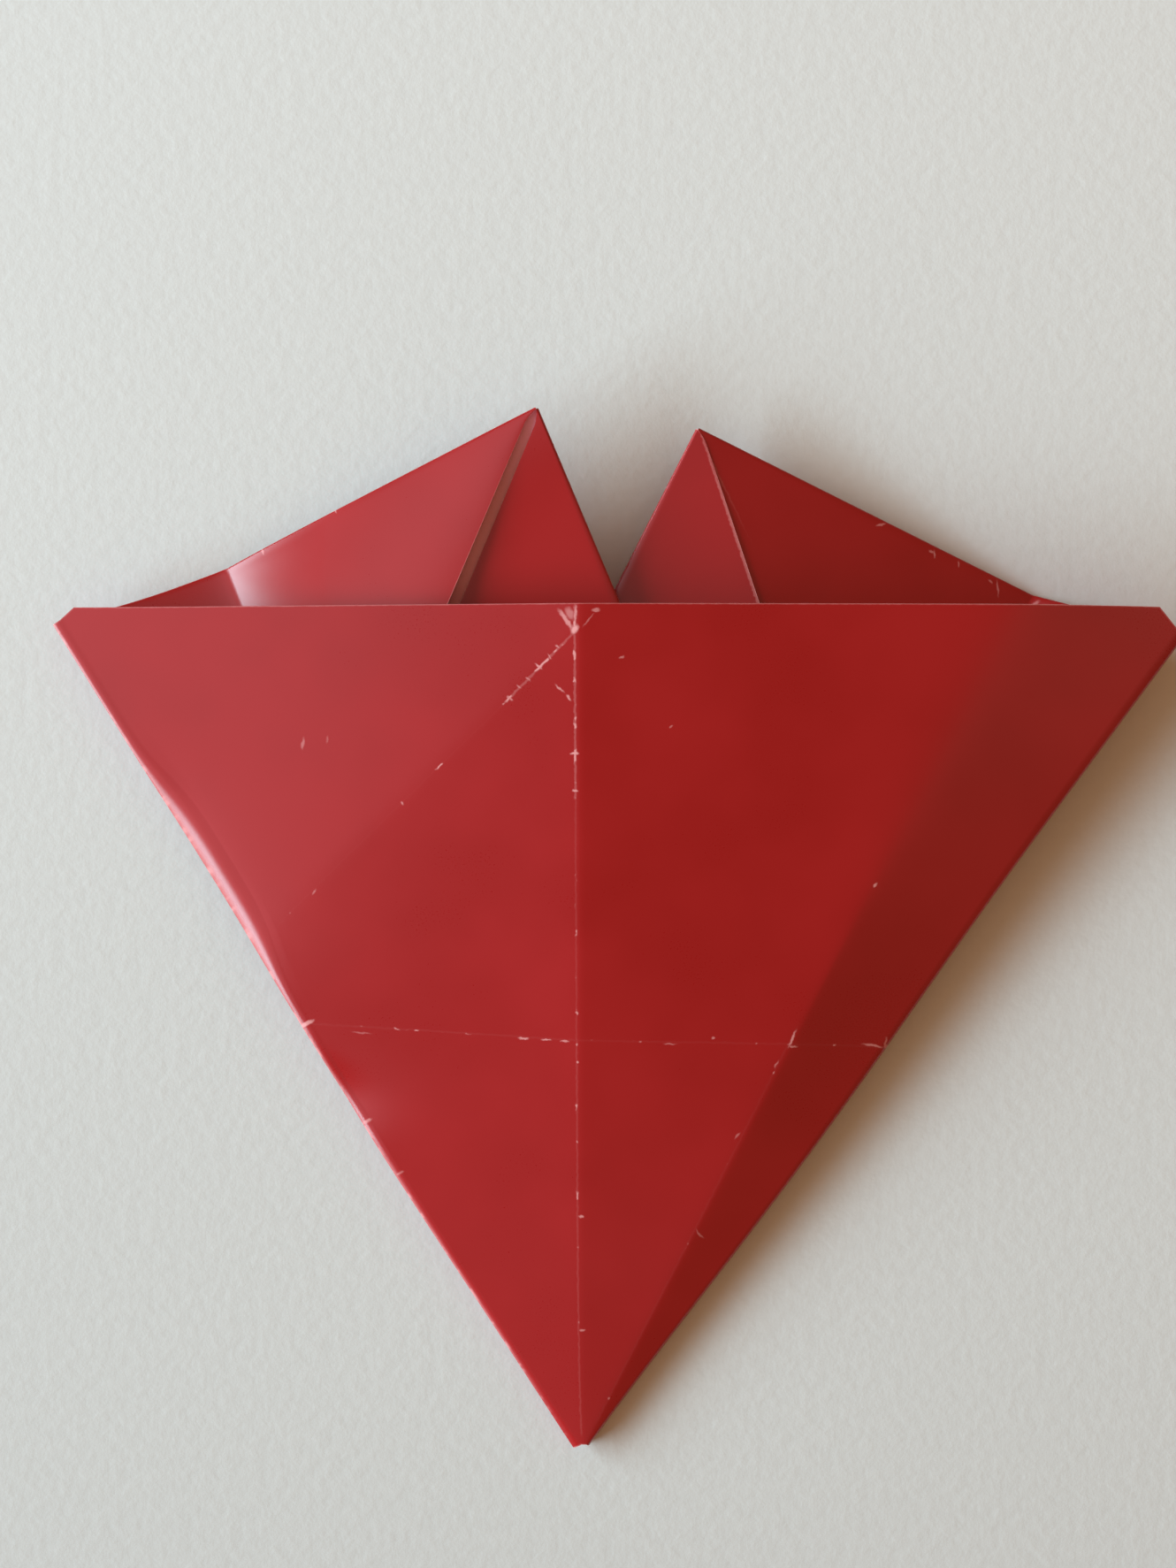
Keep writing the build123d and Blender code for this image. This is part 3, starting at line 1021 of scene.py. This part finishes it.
def reverse_material(finish):
    """Uncoated reverse: pale, matt and fibrous."""
    material, wire = new_material("pale_reverse")
    place = wire.place()
    fibre = wire.noise(place, 2400.0, 4.0, 0.65)
    cloud = wire.noise(place, 60.0, 2.0)
    dark = tuple(0.9 * value for value in finish.reverse)
    tint = wire.mix(cloud.step(0.3, 0.7), rgba(dark), rgba(finish.reverse))
    bump = wire.bump(fibre, 0.25, 0.03 * MM)
    finish_material(wire, Base_Color=tint, Roughness=0.75 + (fibre - 0.5) * 0.15, Normal=bump)
    return material


def edge_material(finish):
    """Cut edge: pale core with the red of the coating bled into it."""
    material, wire = new_material("raw_edge")
    place = wire.place()
    blotch = wire.noise(place, 900.0, 3.0, 0.6)
    tint = wire.mix(blotch.step(0.35, 0.65), rgba(finish.edge), rgba(finish.core))
    finish_material(wire, Base_Color=tint, Roughness=0.7 + (blotch - 0.5) * 0.2)
    return material


def table_material(stage):
    """Pale painted table with a fine orange-peel texture, and painted shade that darkens it towards the
    bottom.
    """
    material, wire = new_material("painted_table")
    place = wire.place()
    peel = wire.noise(place, 700.0, 3.0, 0.55)
    cloud = wire.noise(place, 9.0, 2.0)
    along = wire.add("ShaderNodeSeparateXYZ", {}, {0: place}, output=1)
    dark = tuple(0.79 * value for value in stage.table)
    # Painted shade: the tint falls towards the darker copy at -y, so the table is painted darker towards the
    # bottom of the view
    pale = along.step(-0.16, 0.14) + (cloud - 0.5) * 0.2 + (peel - 0.5) * 0.35
    tint = wire.mix(pale, rgba(dark), rgba(stage.table))
    bump = wire.bump(peel, 0.3, 0.15 * MM)
    finish_material(wire, Base_Color=tint, Roughness=0.6 + (peel - 0.5) * 0.1, Normal=bump)
    return material


def link(name, data):
    """A new object at the origin, in the scene."""
    made = bpy.data.objects.new(name, data)
    bpy.context.scene.collection.objects.link(made)
    return made


class HEART_OT_fold_sheet(bpy.types.Operator):
    """Fold the sheet: body, side folds and corner flaps, with its paper, and put it in place of the solid."""

    bl_idname = "heart.fold_sheet"
    bl_label = "Fold the sheet"

    def execute(self, context):
        s = context.scene.heart_sheet
        finish = context.scene.heart_finish
        body, flaps = sheet_patches(s)
        turned = (False, False, True, True, False)
        mesh = sheet_mesh("folded_paper", zip([body, *flaps], turned))
        for make in (front_material, reverse_material, edge_material):
            mesh.materials.append(make(finish))
        paper = link("folded_paper", mesh)
        wall = paper.modifiers.new("paper", "SOLIDIFY")
        wall.thickness = s.paper
        wall.offset = 0.0
        wall.material_offset = 1
        wall.material_offset_rim = 2
        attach(paper, "root")
        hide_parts("folded_sheet")
        return {"FINISHED"}


def area_lamp(name, place, width, height, power, tint):
    """A rectangular lamp that faces the heart."""
    data = bpy.data.lights.new(name, "AREA")
    data.shape = "RECTANGLE"
    data.size = width
    data.size_y = height
    data.energy = power
    data.color = tint
    lamp = link(name, data)
    lamp.location = place
    lamp.rotation_euler = (-lamp.location).to_track_quat("-Z", "Y").to_euler()
    return lamp


# Lamps: place, width, height and tint. All but the window are faint panels that only the paper's gloss shows.
COOL = (0.67, 0.89, 1.0)
WARM = (1.0, 0.80, 0.66)
LAMPS = {
    "window": ((-2.2, 0.03, 0.82), 3.2, 0.95, COOL),
    "ceiling": ((-0.57, 0.15, 1.0), 1.5, 0.5, COOL),
    "front": ((-0.10, -0.62, 1.0), 0.7, 0.3, COOL),
    "back": ((0.03, 0.33, 1.0), 0.55, 0.4, COOL),
    "wall": ((0.85, -0.20, 1.05), 0.45, 0.5, WARM),
}


class HEART_OT_lay_stage(bpy.types.Operator):
    """Lay the table, hang the lamps and set the camera over the heart."""

    bl_idname = "heart.lay_stage"
    bl_label = "Lay the stage"

    def execute(self, context):
        stage = context.scene.heart_stage
        turns = np.linspace(0, 2 * math.pi, TABLE_SIDES, endpoint=False)
        points = stage.table_radius * np.stack([np.cos(turns), np.sin(turns), 0 * turns], axis=1)
        mesh = bpy.data.meshes.new("table")
        mesh.from_pydata(points, [], [range(TABLE_SIDES)])
        mesh.materials.append(table_material(stage))
        link("table", mesh)

        for name, (place, width, height, tint) in LAMPS.items():
            lamp = area_lamp(name, place, width, height, getattr(stage, name), tint)
            lamp.visible_diffuse = name == "window"

        world = bpy.data.worlds.new("room")
        world.use_nodes = True
        world.node_tree.nodes.clear()
        wire = Wire(world.node_tree)
        light = wire.add("ShaderNodeBackground", {}, {"Color": rgba(stage.fill)})
        wall = wire.add("ShaderNodeBackground", {}, {"Color": rgba(stage.backdrop)})
        seen = wire.add("ShaderNodeLightPath", {}, {})
        both = wire.add("ShaderNodeMixShader", {}, {0: seen, 1: light, 2: wall})
        wire.add("ShaderNodeOutputWorld", {}, {"Surface": both})
        context.scene.world = world

        data = bpy.data.cameras.new("overhead")
        data.lens = stage.camera_lens
        data.clip_start = 0.01
        camera = link("overhead", data)
        camera.location = (TIP[0] + stage.camera_x, TIP[1] + stage.camera_y, stage.camera_height)
        context.scene.camera = camera
        context.scene.view_settings.view_transform = "Standard"
        return {"FINISHED"}


class HEART_PT_panel(bpy.types.Panel):
    """Sizes and finishes of the heart."""

    bl_idname = "HEART_PT_panel"
    bl_label = "Origami heart"
    bl_space_type = "VIEW_3D"
    bl_region_type = "UI"
    bl_category = "Heart"

    def draw(self, context):
        for group in GROUPS:
            box = self.layout.box()
            settings = getattr(context.scene, group)
            for name in settings.bl_rna.properties.keys():
                if name not in ("rna_type", "name"):
                    box.prop(settings, name)
        for operator in (HEART_OT_fold_sheet, HEART_OT_lay_stage):
            self.layout.operator(operator.bl_idname)


GROUPS = {"heart_sheet": HeartSheet, "heart_finish": HeartFinish, "heart_stage": HeartStage}
CLASSES = (*GROUPS.values(), HEART_OT_fold_sheet, HEART_OT_lay_stage, HEART_PT_panel)


def register():
    for each in CLASSES:
        bpy.utils.register_class(each)
    for name, group in GROUPS.items():
        setattr(bpy.types.Scene, name, PointerProperty(type=group))


def unregister():
    for name in GROUPS:
        delattr(bpy.types.Scene, name)
    for each in reversed(CLASSES):
        bpy.utils.unregister_class(each)


def main():
    """Registers the add-on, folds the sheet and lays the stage."""
    register()
    bpy.ops.heart.lay_stage()
    bpy.ops.heart.fold_sheet()


if __name__ == "__main__":
    main()
